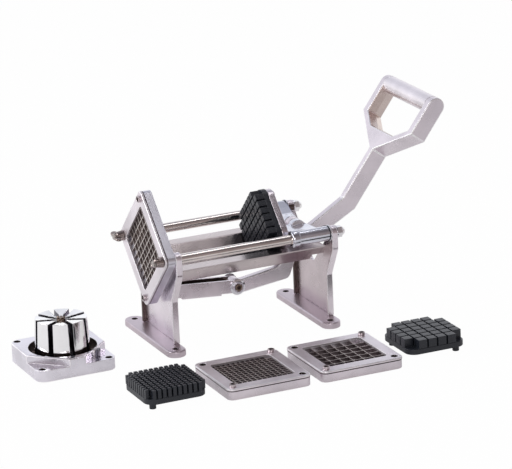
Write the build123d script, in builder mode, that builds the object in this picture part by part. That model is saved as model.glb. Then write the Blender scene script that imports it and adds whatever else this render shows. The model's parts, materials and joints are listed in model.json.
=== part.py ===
from build123d import *

import os
from math import atan2, cos, radians, sin, sqrt

# French fry cutter: a lever pushes a block of pins, on a carriage that slides on two
# guide rods, through a grid of knives. Millimetres, +Z up. The origin is the middle of
# the four foot holes at table level, and the knives are at the -X end.

# ---------------------------------------------------------------- driving dimensions
foot_spacing_x = 204.0  # between the hole lines of the two foot bars
foot_spacing_y = 130.0  # between the two holes in one bar
foot_width = 24.0
foot_height = 8.0
foot_hole_radius = 3.75
foot_bevel = 1.2

stand_depth = 8.0
stand_web = 3.5
stand_rim = 4.0
stand_setback = 4.0  # from the front foot's hole line to the stand's open side
stand_half_width = 50.5
shoulder_level = 62.0
ear_foot_level = 98.0
ear_radius = 8.5
ear_relief = 0.5  # solid left around each ear inside the rim
shoulder_radius = 9.0
opening_margin = 0.9  # the V-shaped opening is this much wider than the knives' opening
opening_corner = 8.0

hole_margin = 5.9  # from the edge of the knives' opening to the middle of a stud hole
rod_level = 117.5
rod_radius = 6.0
stud_radius = 4.0
front_stud_length = 27.0  # past the front stand's back face
rear_stud_length = 15.0  # past the rear stand's open side
stud_bevel = 0.7
bolt_clearance = 0.15
running_clearance = 0.05
body_gap = 0.3  # between pieces that pass without touching

rail_sheet = 2.0
rail_gap_half = 12.5
rail_bend_half = 41.0
rail_flange_half = 61.0
rail_tab_width = 20.0
rail_back_gap = 5.0  # from the rail's end to the rear stand, where only the tab goes on

frame_wall = 14.4
frame_corner = 8.0
frame_body = 11.0
frame_lip = 2.0
frame_aperture = 76.2
frame_aperture_corner = 2.0
knife_end = 3.9  # length of a knife that is held in the frame beyond the opening
cover_thickness = 3.0
cover_overhang = 0.4
cover_bevel = 0.8
cover_aperture_corner = 4.0
knife_thickness = 0.9
knife_depth = 4.5
screw_head_radius = 4.2
screw_head_height = 3.5

block_gap = 1.925  # between two pins
block_base = 6.5
block_margin = 0.5
block_corner = 12.5
pin_length = 10.5
peg_radius = 4.0
peg_length = 7.0
peg_square = 56.0

plate_margin = 0.1
plate_corner = 16.0
plate_thickness = 8.0
plate_lead = 3.5  # from the plate's front to the front of the bushings
plate_screw_radius = 2.5
plate_screw_head = 4.5
plate_screw_height = 3.0

bushing_length = 51.0
bushing_radius = 7.6
sleeve_radius = 9.0  # cast sleeve around each bushing
collar_radius = 10.5
collar_length = 9.5
collar_bevel = 1.5
ring_radius = 10.0
ring_length = 2.5
web_level = 118.0
web_underside = 110.0
web_flat_half = 36.0  # where the web starts to rise towards the sleeves
web_blend = 14.0
hub_half_width = 14.0
hub_wall = 8.0
hub_radius = 10.5

link_pivot_ahead = 10.0  # from the front stand's back face to the fixed pivot
link_pivot_level = 59.4
elbow_x = 4.0
elbow_level = 52.5
lever_pivot_level = 113.5
lever_pivot_lead = 19.0  # from the rear stand's open side to the lever pivot
pivot_radius = 4.0
lug_half_width = 6.5
link_half_width = 12.0
link_inner_half = 7.0
link_height = 16.0
link_belly = 2.0
link_floor = 2.5
belly_start = 12.0
belly_end = 64.0

lever_half_width = 5.0
lever_depth = 22.4
lever_angle = 53.2  # of the handle's part of the lever, above the level
lever_bend = (66.1, 25.5)  # front bend of the lever, from its pivot
lever_bend_lag = 4.0  # the rear bend lies this much nearer to the pivot
lever_eye = 10.5
elbow_eye = 8.7
neck_along = 70.0  # from the lever's bend to the neck where the handle opens out
handle_widest_along = 107.5
handle_axis_along = 151.5
handle_half_width = 66.5
handle_leg = 11.0
window_start_along = 95.0
window_corner_along = 110.0
window_half_start = 30.0

# ---------------------------------------------------------------- derived places
frame_side = frame_aperture + 2 * frame_wall
hole_square = frame_aperture + 2 * hole_margin  # on it lie the stud holes of stands and frames
opening_side = frame_aperture + 2 * opening_margin  # square opening, stood on its corner
rail_square = opening_side + rail_sheet  # the square trough that the two rails would close
plate_side = frame_aperture - 2 * plate_margin
rod_offset = hole_square / sqrt(2)
front_stand_x = -foot_spacing_x / 2 + stand_setback
front_stand_back = front_stand_x + stand_depth
rear_stand_x = foot_spacing_x / 2 + stand_setback
rear_stand_back = rear_stand_x + stand_depth
carriage_rear = rear_stand_x - body_gap
ring_start = carriage_rear - ring_length
bushing_start = carriage_rear - bushing_length
plate_front = bushing_start - plate_lead
plate_back = plate_front + plate_thickness
hub_start = plate_back
lever_pivot_x = rear_stand_x - lever_pivot_lead
link_pivot_x = front_stand_back + link_pivot_ahead
stand_top_half = rod_offset + ear_radius
opening_bottom = rod_level - opening_side / sqrt(2)
rail_bottom = rod_level - rail_square / sqrt(2)
frame_thickness = frame_body + cover_thickness
knife_seat = frame_aperture + 2 * knife_end
corner_hole = hole_square / 2
rod_ends = [(rod_offset, rod_level), (-rod_offset, rod_level)]


tiny = 0.01  # for comparing places


def keep(piece, label):
    """Label a finished piece and write its STEP file."""
    piece.part.label = label
    export_step(piece.part, f"parts/{label}.step")


# ---------------------------------------------------------------- foot bars
def foot_bar(label, hole_line_x):
    """Flat bar with round ends and a bolt hole near each end."""
    with BuildPart() as bar:
        with BuildSketch(Plane.XY):
            with Locations((hole_line_x, 0)):
                SlotCenterToCenter(foot_spacing_y, foot_width, rotation=90)
            with Locations((hole_line_x, foot_spacing_y / 2), (hole_line_x, -foot_spacing_y / 2)):
                Circle(foot_hole_radius, mode=Mode.SUBTRACT)
        extrude(amount=foot_height)
        rim = bar.faces().sort_by(Axis.Z)[-1].outer_wire()
        chamfer(rim.edges(), foot_bevel)
    keep(bar, label)


foot_bar("front_foot", -foot_spacing_x / 2)
foot_bar("rear_foot", foot_spacing_x / 2)


# ---------------------------------------------------------------- stands
def stand_slab():
    """Outer outline of a stand, up to the level of the rods."""
    Polygon(
        (-stand_half_width, foot_height),
        (stand_half_width, foot_height),
        (stand_half_width, shoulder_level),
        (stand_top_half, ear_foot_level),
        (stand_top_half, rod_level),
        (-stand_top_half, rod_level),
        (-stand_top_half, ear_foot_level),
        (-stand_half_width, shoulder_level),
        align=None,
    )


def on_level(level):
    """Selector for the corners of a sketch that lie at one height."""
    return lambda corner: abs(corner.Y - level) < tiny


def stand(label, open_side_x):
    """Casting open towards -X: web, rim, V for the food and an ear around each rod."""
    ear_top = rod_level + ear_radius
    with BuildPart() as casting:
        with BuildSketch(Plane.YZ.offset(open_side_x)):
            stand_slab()
            fillet(vertices().filter_by(on_level(shoulder_level)), shoulder_radius)
            fillet(vertices().filter_by(on_level(ear_foot_level)), shoulder_radius)
            with Locations(*rod_ends):
                Circle(ear_radius)
            reach = ear_top - opening_bottom
            Polygon((0, opening_bottom), (reach, ear_top), (-reach, ear_top), align=None, mode=Mode.SUBTRACT)
            with Locations(*rod_ends):
                Circle(ear_radius)
            fillet(vertices().filter_by(on_level(opening_bottom)), opening_corner)
            with Locations(*rod_ends):
                Circle(stud_radius + bolt_clearance, mode=Mode.SUBTRACT)
        extrude(amount=stand_depth)
        with BuildSketch(Plane.YZ.offset(open_side_x)):
            stand_slab()
            offset(amount=-stand_rim, kind=Kind.INTERSECTION)
            with Locations((0, foot_height + stand_rim)):
                Rectangle(2 * (stand_half_width - stand_rim), 2 * stand_rim)
            with Locations(*rod_ends):
                Circle(ear_radius + ear_relief, mode=Mode.SUBTRACT)
        extrude(amount=stand_depth - stand_web, mode=Mode.SUBTRACT)
    keep(casting, label)


stand("front_stand", front_stand_x)
stand("rear_stand", rear_stand_x)


# ---------------------------------------------------------------- guide rods and their nuts
def guide_rod(label, side):
    """Ground rod with a stud turned at each end."""
    axis_y = side * rod_offset
    with BuildPart() as rod:
        with BuildSketch(Plane.YZ.offset(front_stand_back)):
            with Locations((axis_y, rod_level)):
                Circle(rod_radius)
        extrude(amount=rear_stand_x - front_stand_back)
        with BuildSketch(Plane.YZ.offset(front_stand_back)):
            with Locations((axis_y, rod_level)):
                Circle(stud_radius)
        extrude(amount=-front_stud_length - stand_depth)
        with BuildSketch(Plane.YZ.offset(rear_stand_x)):
            with Locations((axis_y, rod_level)):
                Circle(stud_radius)
        extrude(amount=rear_stud_length)
        tips = rod.faces().filter_by(Axis.X).sort_by(Axis.X)
        chamfer(tips[0].edges() + tips[-1].edges(), stud_bevel)
    keep(rod, label)


guide_rod("near_guide_rod", -1)
guide_rod("far_guide_rod", 1)

washer_thickness = 1.5
washer_radius = 8.0
dome_nut_flats = 13.0
dome_nut_hex = 6.0
dome_nut_length = 11.2
dome_nut_step = 0.5
dome_nut_crown = (3.0, 4.2)  # along and across the nut

with BuildPart() as rod_washers:
    with BuildSketch(Plane.YZ.offset(rear_stand_back)):
        with Locations(*rod_ends):
            Circle(washer_radius)
            Circle(stud_radius + bolt_clearance, mode=Mode.SUBTRACT)
    extrude(amount=washer_thickness)
keep(rod_washers, "rod_washers")

dome_nut_x = rear_stand_back + washer_thickness
dome_radius = dome_nut_flats / 2 - dome_nut_step
with BuildPart() as dome_nuts:
    with BuildSketch(Plane.YZ.offset(dome_nut_x)):
        with Locations(*rod_ends):
            RegularPolygon(dome_nut_flats / 2, 6, major_radius=False)
    extrude(amount=dome_nut_hex)
    with BuildSketch(Plane.YZ.offset(dome_nut_x)):
        with Locations(*rod_ends):
            Circle(dome_radius)
    extrude(amount=dome_nut_length)
    crown = dome_nuts.faces().filter_by(Axis.X).group_by(Axis.X)[-1]
    chamfer(crown.edges(), *dome_nut_crown)
    with BuildSketch(Plane.YZ.offset(dome_nut_x)):
        with Locations(*rod_ends):
            Circle(stud_radius)
    extrude(amount=rear_stand_x + rear_stud_length - dome_nut_x, mode=Mode.SUBTRACT)
keep(dome_nuts, "dome_nuts")


# ---------------------------------------------------------------- trough rails
def trough_rail(label, side):
    """Bent sheet: a level flange and a sloping side, with a tab to the rear stand."""
    slant = rail_sheet / sqrt(2)
    flange_top = rail_bottom + rail_bend_half
    flange_under = flange_top - rail_sheet
    under_bend_half = flange_under - rail_bottom + rail_sheet * sqrt(2)
    rail_end = rear_stand_x - rail_back_gap
    tab_low = (rail_gap_half + rail_bend_half - rail_tab_width / sqrt(2)) / 2
    tab_high = tab_low + rail_tab_width / sqrt(2)
    with BuildPart() as rail:
        with BuildSketch(Plane.YZ.offset(front_stand_back)):
            Polygon(
                (side * rail_flange_half, flange_top),
                (side * rail_bend_half, flange_top),
                (side * rail_gap_half, rail_bottom + rail_gap_half),
                (side * (rail_gap_half + slant), rail_bottom + rail_gap_half - slant),
                (side * under_bend_half, flange_under),
                (side * rail_flange_half, flange_under),
                align=None,
            )
        extrude(amount=rail_end - front_stand_back)
        with BuildSketch(Plane.YZ.offset(rail_end)):
            Polygon(
                (side * tab_high, rail_bottom + tab_high),
                (side * tab_low, rail_bottom + tab_low),
                (side * (tab_low + slant), rail_bottom + tab_low - slant),
                (side * (tab_high + slant), rail_bottom + tab_high - slant),
                align=None,
            )
        extrude(amount=rear_stand_back - stand_web - rail_end)
    keep(rail, label)


trough_rail("near_trough_rail", -1)
trough_rail("far_trough_rail", 1)


# ---------------------------------------------------------------- knife frames
def square_ring(side, corner, aperture, aperture_corner):
    """Square with round corners around a square window, in the current sketch."""
    RectangleRounded(side, side, corner)
    RectangleRounded(aperture, aperture, aperture_corner, mode=Mode.SUBTRACT)


def knife_frame(prefix, seat, cells):
    """Frame, cover, two crossed layers of knives and the two cover screws.

    seat is the plane of the frame's back, centred, with its normal through the cover.
    """
    pitch = frame_aperture / cells
    stud_corners = [(corner_hole, corner_hole), (-corner_hole, -corner_hole)]
    screw_corners = [(corner_hole, -corner_hole), (-corner_hole, corner_hole)]
    with BuildPart() as body:
        with BuildSketch(seat):
            square_ring(frame_side, frame_corner, frame_aperture, frame_aperture_corner)
            with Locations(*stud_corners):
                Circle(stud_radius + bolt_clearance, mode=Mode.SUBTRACT)
        extrude(amount=frame_body)
        with BuildSketch(seat.offset(frame_lip)):
            Rectangle(knife_seat, knife_seat)
        extrude(amount=frame_body - frame_lip, mode=Mode.SUBTRACT)
    keep(body, f"{prefix}_frame")
    with BuildPart() as cover:
        with BuildSketch(seat.offset(frame_body)):
            cover_side = frame_side + 2 * cover_overhang
            square_ring(cover_side, frame_corner, frame_aperture, cover_aperture_corner)
            with Locations(*stud_corners):
                Circle(stud_radius + bolt_clearance, mode=Mode.SUBTRACT)
        extrude(amount=cover_thickness)
        outer_face = cover.faces().sort_by(Axis(seat.origin, seat.z_dir))[-1]
        chamfer(outer_face.outer_wire().edges(), cover_bevel)
    keep(cover, f"{prefix}_cover")
    with BuildPart() as back_knives:
        with BuildSketch(seat.offset(frame_lip)):
            with GridLocations(pitch, pitch, 1, cells - 1):
                Rectangle(knife_seat, knife_thickness)
        extrude(amount=knife_depth)
    keep(back_knives, f"{prefix}_back_knives")
    with BuildPart() as front_knives:
        with BuildSketch(seat.offset(frame_lip + knife_depth)):
            with GridLocations(pitch, pitch, cells - 1, 1):
                Rectangle(knife_thickness, knife_seat)
        extrude(amount=knife_depth)
    keep(front_knives, f"{prefix}_front_knives")
    with BuildPart() as screws:
        with BuildSketch(seat.offset(frame_thickness)):
            with Locations(*screw_corners):
                Circle(screw_head_radius)
        extrude(amount=screw_head_height)
    keep(screws, f"{prefix}_cover_screws")


frame_seat = Plane(origin=(front_stand_x, 0, rod_level), x_dir=(0, 1, 1), z_dir=(-1, 0, 0))
knife_frame("knife", frame_seat, 8)


# ---------------------------------------------------------------- pin blocks
def peg_corners(diagonal):
    """Places of the two pegs of a block, on the diagonal that the sign picks."""
    half = peg_square / 2
    return [(half, -diagonal * half), (-half, diagonal * half)]


def pin_block(label, seat, cells, diagonal=1):
    """Moulded block of square pins that push the food between the knives.

    seat is the plane of the block's back, centred, with its normal along the pins.
    """
    pitch = frame_aperture / cells
    pin_side = pitch - block_gap
    block_side = frame_aperture - block_gap + 2 * block_margin
    corner_pin = (frame_aperture - pitch) / 2
    with BuildPart() as block:
        with BuildSketch(seat):
            RectangleRounded(block_side, block_side, block_corner)
        extrude(amount=block_base)
        with BuildSketch(seat.offset(block_base)):
            with GridLocations(pitch, pitch, cells, cells):
                Rectangle(pin_side, pin_side)
            with GridLocations(2 * corner_pin, 2 * corner_pin, 2, 2):
                Rectangle(pitch, pitch, mode=Mode.SUBTRACT)
        extrude(amount=pin_length)
        with BuildSketch(seat):
            with Locations(*peg_corners(diagonal)):
                Circle(peg_radius)
        extrude(amount=-peg_length)
    keep(block, label)


plate_seat = Plane(origin=(plate_front, 0, rod_level), x_dir=(0, 1, 1), z_dir=(-1, 0, 0))
pin_block("pusher_block", plate_seat, 8)

with BuildPart() as pusher_plate:
    with BuildSketch(plate_seat):
        RectangleRounded(plate_side, plate_side, plate_corner)
    extrude(amount=-plate_thickness)
    with BuildSketch(plate_seat):
        with Locations(*peg_corners(1)):
            Circle(peg_radius)
    extrude(amount=-peg_length, mode=Mode.SUBTRACT)
    with BuildSketch(plate_seat):
        with Locations(*peg_corners(1)):
            Circle(plate_screw_radius)
    extrude(amount=-plate_thickness, mode=Mode.SUBTRACT)
keep(pusher_plate, "pusher_plate")

with BuildPart() as block_screws:
    with BuildSketch(plate_seat.offset(-plate_thickness)):
        with Locations(*peg_corners(1)):
            Circle(plate_screw_radius)
    extrude(amount=plate_thickness - peg_length)
    with BuildSketch(plate_seat.offset(-plate_thickness)):
        with Locations(*peg_corners(1)):
            Circle(plate_screw_head)
    extrude(amount=-plate_screw_height)
keep(block_screws, "block_screws")

# ---------------------------------------------------------------- carriage
lever_pivot = Plane(origin=(lever_pivot_x, 0, lever_pivot_level), x_dir=(1, 0, 0), z_dir=(0, -1, 0))
collar_end = bushing_start + collar_length
slot_half = lever_half_width + body_gap
web_front = 74.0  # the web's edges where it leaves the hub
web_rear = 97.0
web_waist = 3.0  # depth of the curve in the web's front edge

web_span = rod_offset - web_flat_half
ramp_reach = sqrt(web_span**2 + (rod_level - web_level) ** 2 - sleeve_radius**2)
ramp_angle = atan2(rod_level - web_level, web_span) + atan2(sleeve_radius, ramp_reach)
ramp_end = (web_flat_half + ramp_reach * cos(ramp_angle), web_level + ramp_reach * sin(ramp_angle))

with BuildPart() as carriage_yoke:
    with BuildSketch(Plane.YZ.offset(bushing_start)):
        Polygon(
            (-web_flat_half, web_level),
            (web_flat_half, web_level),
            ramp_end,
            (rod_offset, rod_level),
            (rod_offset, web_underside),
            (-rod_offset, web_underside),
            (-rod_offset, rod_level),
            (-ramp_end[0], ramp_end[1]),
            align=None,
        )
        fillet(vertices().filter_by(on_level(web_level)), web_blend)
    extrude(amount=bushing_length)
    with BuildSketch(Plane.XY):
        with BuildLine():
            front_edge = SagittaArc((web_front, 0), (collar_end, rod_offset), web_waist)
            Polyline(front_edge @ 1, (carriage_rear, rod_offset), (web_rear, 0), front_edge @ 0)
        make_face()
        mirror(about=Plane.XZ)
    extrude(amount=2 * rod_level, mode=Mode.INTERSECT)
    with BuildSketch(Plane.YZ.offset(ring_start)):
        with Locations(*rod_ends):
            Circle(ring_radius)
    extrude(amount=ring_length, mode=Mode.SUBTRACT)
    with BuildSketch(Plane.YZ.offset(bushing_start)):
        with Locations(*rod_ends):
            Circle(sleeve_radius)
    extrude(amount=bushing_length)
    with BuildSketch(Plane.YZ.offset(bushing_start)):
        with Locations(*rod_ends):
            Circle(collar_radius)
    extrude(amount=collar_length)
    collar_rims = carriage_yoke.edges().filter_by(GeomType.CIRCLE).group_by(Axis.X)[0]
    chamfer(collar_rims, collar_bevel)
    with BuildSketch(lever_pivot):
        Circle(hub_radius)
        Polygon(
            (hub_start - lever_pivot_x, -hub_radius),
            (0, -hub_radius),
            (0, web_level - lever_pivot_level),
            (hub_start - lever_pivot_x, web_level - lever_pivot_level),
            align=None,
        )
    extrude(amount=hub_half_width, both=True)
    with BuildSketch(lever_pivot):
        with Locations((hub_start + hub_wall - lever_pivot_x, 0)):
            Rectangle(bushing_length, 3 * hub_radius, align=(Align.MIN, Align.CENTER))
    extrude(amount=slot_half, both=True, mode=Mode.SUBTRACT)
    with BuildSketch(Plane.YZ.offset(bushing_start)):
        with Locations(*rod_ends):
            Circle(bushing_radius)
    extrude(amount=bushing_length, mode=Mode.SUBTRACT)
    with BuildSketch(lever_pivot):
        Circle(pivot_radius)
    extrude(amount=hub_half_width, both=True, mode=Mode.SUBTRACT)
keep(carriage_yoke, "carriage_yoke")

with BuildPart() as slide_bushings:
    with BuildSketch(Plane.YZ.offset(bushing_start)):
        with Locations(*rod_ends):
            Circle(bushing_radius)
            Circle(rod_radius + running_clearance, mode=Mode.SUBTRACT)
    extrude(amount=bushing_length)
keep(slide_bushings, "slide_bushings")

with BuildPart() as bushing_rings:
    with BuildSketch(Plane.YZ.offset(ring_start)):
        with Locations(*rod_ends):
            Circle(ring_radius)
            Circle(sleeve_radius, mode=Mode.SUBTRACT)
    extrude(amount=ring_length)
keep(bushing_rings, "bushing_rings")

with BuildPart() as lever_pin:
    with BuildSketch(lever_pivot):
        Circle(pivot_radius)
    extrude(amount=hub_half_width, both=True)
keep(lever_pin, "lever_pin")

# ---------------------------------------------------------------- lever
rise = radians(lever_angle)
along = Vector(cos(rise), 0, sin(rise))
rearward = Vector(sin(rise), 0, -cos(rise))
bend = Vector(lever_bend[0], 0, lever_bend[1])
neck_front = bend + along * neck_along
neck_rear = neck_front + rearward * lever_depth
rear_bend = bend + rearward * lever_depth - along * lever_bend_lag
elbow = (elbow_x - lever_pivot_x, elbow_level - lever_pivot_level)
armpit = (-20.1, -47.1)  # corners of the foot that reaches from the pivot to the elbow
heel = (-10.3, -64.2)
waist = (1.5, -35.0)
eye_front = (-10.3, 2.0)  # where the outline leaves the eye on the pivot
eye_rear = (9.5, -8.35)
toe_drop = 2.6  # the foot's underside lies this much below the elbow eye


def near(point):
    """Selector for the corner of a sketch at one point."""
    return lambda corner: abs(corner.X - point[0]) + abs(corner.Y - point[1]) < tiny


with BuildPart() as lever_bar:
    with BuildSketch(lever_pivot):
        Polygon(
            armpit,
            (elbow[0], elbow[1] + elbow_eye / 2),
            (elbow[0], elbow[1] - elbow_eye),
            (elbow[0] + elbow_eye, elbow[1] - elbow_eye - toe_drop),
            heel,
            waist,
            (rear_bend.X, rear_bend.Z),
            (neck_rear.X, neck_rear.Z),
            (neck_front.X, neck_front.Z),
            (bend.X, bend.Z),
            eye_rear,
            (0, 0),
            eye_front,
            align=None,
        )
        fillet(vertices().filter_by(near(armpit)), 14.0)
        fillet(vertices().filter_by(near(heel)), 9.0)
        fillet(vertices().filter_by(near(waist)), 12.0)
        Circle(lever_eye)
        with Locations(elbow):
            Circle(elbow_eye)
    extrude(amount=lever_half_width, both=True)
    with BuildSketch(lever_pivot):
        with Locations(elbow):
            Circle(elbow_eye)
    extrude(amount=link_inner_half - body_gap, both=True)
    with BuildSketch(lever_pivot):
        Circle(pivot_radius + running_clearance)
        with Locations(elbow):
            Circle(pivot_radius)
    extrude(amount=link_inner_half, both=True, mode=Mode.SUBTRACT)
keep(lever_bar, "lever_bar")

bend_place = Vector(lever_pivot_x, 0, lever_pivot_level) + bend
handle_face = Plane(origin=bend_place, x_dir=(0, 1, 0), z_dir=rearward)
handle_side = Plane(origin=bend_place, x_dir=along, z_dir=(0, 1, 0))
leg_end_radius = lever_depth / 2
handle_end = handle_axis_along + leg_end_radius
window_half = handle_half_width - handle_leg
with BuildPart() as handle_loop:
    with BuildSketch(handle_face):
        Polygon(
            (-lever_half_width, neck_along),
            (lever_half_width, neck_along),
            (handle_half_width, handle_widest_along),
            (handle_half_width, handle_end),
            (-handle_half_width, handle_end),
            (-handle_half_width, handle_widest_along),
            align=None,
        )
        Polygon(
            (-window_half_start, window_start_along),
            (window_half_start, window_start_along),
            (window_half, window_corner_along),
            (window_half, handle_end),
            (-window_half, handle_end),
            (-window_half, window_corner_along),
            align=None,
            mode=Mode.SUBTRACT,
        )
    extrude(amount=lever_depth)
    with BuildSketch(handle_side):
        with Locations((handle_axis_along / 2, leg_end_radius)):
            Rectangle(handle_axis_along, lever_depth)
        with Locations((handle_axis_along, leg_end_radius)):
            Circle(leg_end_radius)
    extrude(amount=2 * handle_half_width, both=True, mode=Mode.INTERSECT)
keep(handle_loop, "handle_loop")

with BuildPart() as handle_grip:
    with BuildSketch(handle_side):
        with Locations((handle_axis_along, leg_end_radius)):
            Circle(leg_end_radius)
    extrude(amount=window_half, both=True)
keep(handle_grip, "handle_grip")

with BuildPart() as elbow_shank:
    with BuildSketch(lever_pivot):
        with Locations(elbow):
            Circle(pivot_radius)
    extrude(amount=link_inner_half - body_gap, both=True)
keep(elbow_shank, "elbow_shank")

# ---------------------------------------------------------------- link
link_run = Vector(elbow_x - link_pivot_x, 0, elbow_level - link_pivot_level)
link_length = link_run.length
link_line = Plane(origin=(link_pivot_x, 0, link_pivot_level), x_dir=link_run, z_dir=(0, -1, 0))
link_eye = link_height / 2
belly = (belly_end - belly_start, link_height + link_belly)
with BuildPart() as link_channel:
    with BuildSketch(link_line):
        with Locations((link_length / 2, 0)):
            SlotCenterToCenter(link_length, link_height)
        with Locations(((belly_start + belly_end) / 2, -link_belly / 2)):
            Rectangle(*belly)
    extrude(amount=link_half_width, both=True)
    with BuildSketch(link_line):
        with Locations((0, link_floor - link_belly - link_height / 2)):
            Rectangle(link_length, 2 * link_height, align=Align.MIN)
        with Locations((belly_start - link_length, 0)):
            Rectangle(2 * link_length, 2 * link_height)
        with Locations((belly_end + link_length, 0)):
            Rectangle(2 * link_length, 2 * link_height)
    extrude(amount=link_inner_half, both=True, mode=Mode.SUBTRACT)
    with BuildSketch(link_line):
        Circle(pivot_radius + running_clearance)
        with Locations((link_length, 0)):
            Circle(pivot_radius)
    extrude(amount=link_half_width, both=True, mode=Mode.SUBTRACT)
keep(link_channel, "link_channel")

elbow_washer_radius = 10.0
elbow_washer = 1.5
elbow_head = 4.0
elbow_head_flats = 12.0
elbow_socket_radius = 3.2
elbow_socket = 2.5


def elbow_fastener(label, side):
    """One end of the elbow bolt: the stub in the link's wall, a washer and a hexagon."""
    wall = link_half_width - link_inner_half
    with BuildPart() as fastener:
        with BuildSketch(link_line.offset(side * link_inner_half)):
            with Locations((link_length, 0)):
                Circle(pivot_radius)
        extrude(amount=side * wall)
        with BuildSketch(link_line.offset(side * link_half_width)):
            with Locations((link_length, 0)):
                Circle(elbow_washer_radius)
        extrude(amount=side * elbow_washer)
        with BuildSketch(link_line.offset(side * (link_half_width + elbow_washer))):
            with Locations((link_length, 0)):
                RegularPolygon(elbow_head_flats / 2, 6, major_radius=False)
        extrude(amount=side * elbow_head)
        with BuildSketch(link_line.offset(side * (link_half_width + elbow_washer + elbow_head))):
            with Locations((link_length, 0)):
                Circle(elbow_socket_radius)
        extrude(amount=-side * elbow_socket, mode=Mode.SUBTRACT)
    keep(fastener, label)


elbow_fastener("elbow_bolt_head", 1)
elbow_fastener("elbow_nut", -1)

with BuildPart() as link_bracket:
    with BuildSketch(link_line):
        Circle(link_eye)
    extrude(amount=lug_half_width, both=True)
    with BuildSketch(Plane.XZ):
        with Locations((link_pivot_x - link_pivot_ahead / 2, link_pivot_level)):
            Rectangle(link_pivot_ahead, link_height)
    extrude(amount=lug_half_width, both=True)
    with BuildSketch(link_line):
        Circle(pivot_radius)
    extrude(amount=lug_half_width, both=True, mode=Mode.SUBTRACT)
keep(link_bracket, "link_bracket")

pin_head_radius = 6.5
pin_head = 2.0
with BuildPart() as link_pin:
    with BuildSketch(link_line):
        Circle(pivot_radius)
    extrude(amount=link_half_width + body_gap, both=True)
    for side in (1, -1):
        with BuildSketch(link_line.offset(side * (link_half_width + body_gap))):
            Circle(pin_head_radius)
        extrude(amount=side * pin_head)
keep(link_pin, "link_pin")

# ---------------------------------------------------------------- wing nuts
wing_hub_radius = 6.5
wing_hub_tip = 5.0
wing_hub_length = 9.0
wing_span = 23.0
wing_radius = 4.5
wing_thickness = 3.0
wing_root = (2.5, 3.0)  # where a wing leaves the hub, from the nut's seat
wing_tip_rise = 8.5  # from the nut's seat to the middle of a wing's round end
near_wing_turn = -40.0
far_wing_turn = 12.0


def wing_nut(label, side, turn):
    """Cast wing nut: a tapered hub with two wings that lean away from its seat."""
    seat_x = front_stand_x - frame_thickness - body_gap
    start = Plane(origin=(seat_x, side * rod_offset, rod_level), x_dir=(0, 1, 0), z_dir=(-1, 0, 0))
    tilt = radians(turn)
    wings = Plane(origin=start.origin, x_dir=(0, cos(tilt), sin(tilt)), z_dir=(0, -sin(tilt), cos(tilt)))
    tip = wing_span / 2 - wing_radius
    with BuildPart() as nut:
        with BuildSketch(start):
            Circle(wing_hub_radius)
        with BuildSketch(start.offset(wing_hub_length)):
            Circle(wing_hub_tip)
        loft()
        with BuildSketch(wings):
            for hand in (1, -1):
                with Locations((hand * tip, wing_tip_rise)):
                    Circle(wing_radius)
                Polygon(
                    (0, wing_root[0]),
                    (hand * tip, wing_tip_rise - wing_radius),
                    (hand * tip, wing_tip_rise + wing_radius / 2),
                    (0, wing_root[0] + wing_root[1]),
                    align=None,
                )
        extrude(amount=wing_thickness / 2, both=True)
        with BuildSketch(start):
            Circle(stud_radius + running_clearance)
        extrude(amount=2 * wing_span, both=True, mode=Mode.SUBTRACT)
    keep(nut, label)


wing_nut("near_wing_nut", -1, near_wing_turn)
wing_nut("far_wing_nut", 1, far_wing_turn)


# ---------------------------------------------------------------- spare knives and blocks
fine_frame_place = (-59.0, -193.3)
coarse_frame_place = (59.2, -194.0)
fine_block_place = (-168.5, -193.0)
coarse_block_place = (164.0, -194.0)
wedge_place = (-230.5, -25.3)
fine_cells = 12
coarse_cells = 6


def on_table(place, level=0.0):
    """Plane for a spare part that lies face up on the table."""
    return Plane(origin=(place[0], place[1], level), x_dir=(0, 1, 0), z_dir=(0, 0, 1))


knife_frame("fine", on_table(fine_frame_place), fine_cells)
knife_frame("coarse", on_table(coarse_frame_place), coarse_cells)
pin_block("fine_block", on_table(fine_block_place, peg_length), fine_cells)
pin_block("coarse_block", on_table(coarse_block_place, peg_length), coarse_cells, diagonal=-1)

# ---------------------------------------------------------------- wedge cutter and its pusher
wedge_side = 100.0
wedge_corner = 12.0
wedge_ledge = 14.0  # level of the low corners
wedge_height = 23.5
wedge_cut = 40.0  # length of side that a low corner takes
wedge_window = 41.0
wedge_hole_square = 84.0
wedge_bevel = 1.2
wedge_knife_half = 45.0
wedge_knife_level = 7.0
wedge_knife_depth = 6.0
wedge_arms = 4  # knives right across the window
finger_bottom_radius = 34.5
finger_top_radius = 31.0
finger_top = 59.5
finger_dish = 2.6  # how far the fingers' tops fall towards the middle
finger_gap = 4.0
finger_bore = 9.0
hub_disc = 5.0
wedge_hub_radius = finger_bore - body_gap
wedge_screw_radius = 3.0
wedge_screw_top = 57.0
wedge_screw_head = 7.0
wedge_screw_flats = 9.0

wedge_plane = on_table(wedge_place)
low_corners = [(-wedge_side / 2, wedge_side / 2), (-wedge_side / 2, -wedge_side / 2)]


def wedge_arm_pattern():
    """Thin knives that cross in the middle of the window, in the current sketch."""
    with PolarLocations(0, wedge_arms, angular_range=180):
        Rectangle(2 * wedge_knife_half, knife_thickness)


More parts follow.
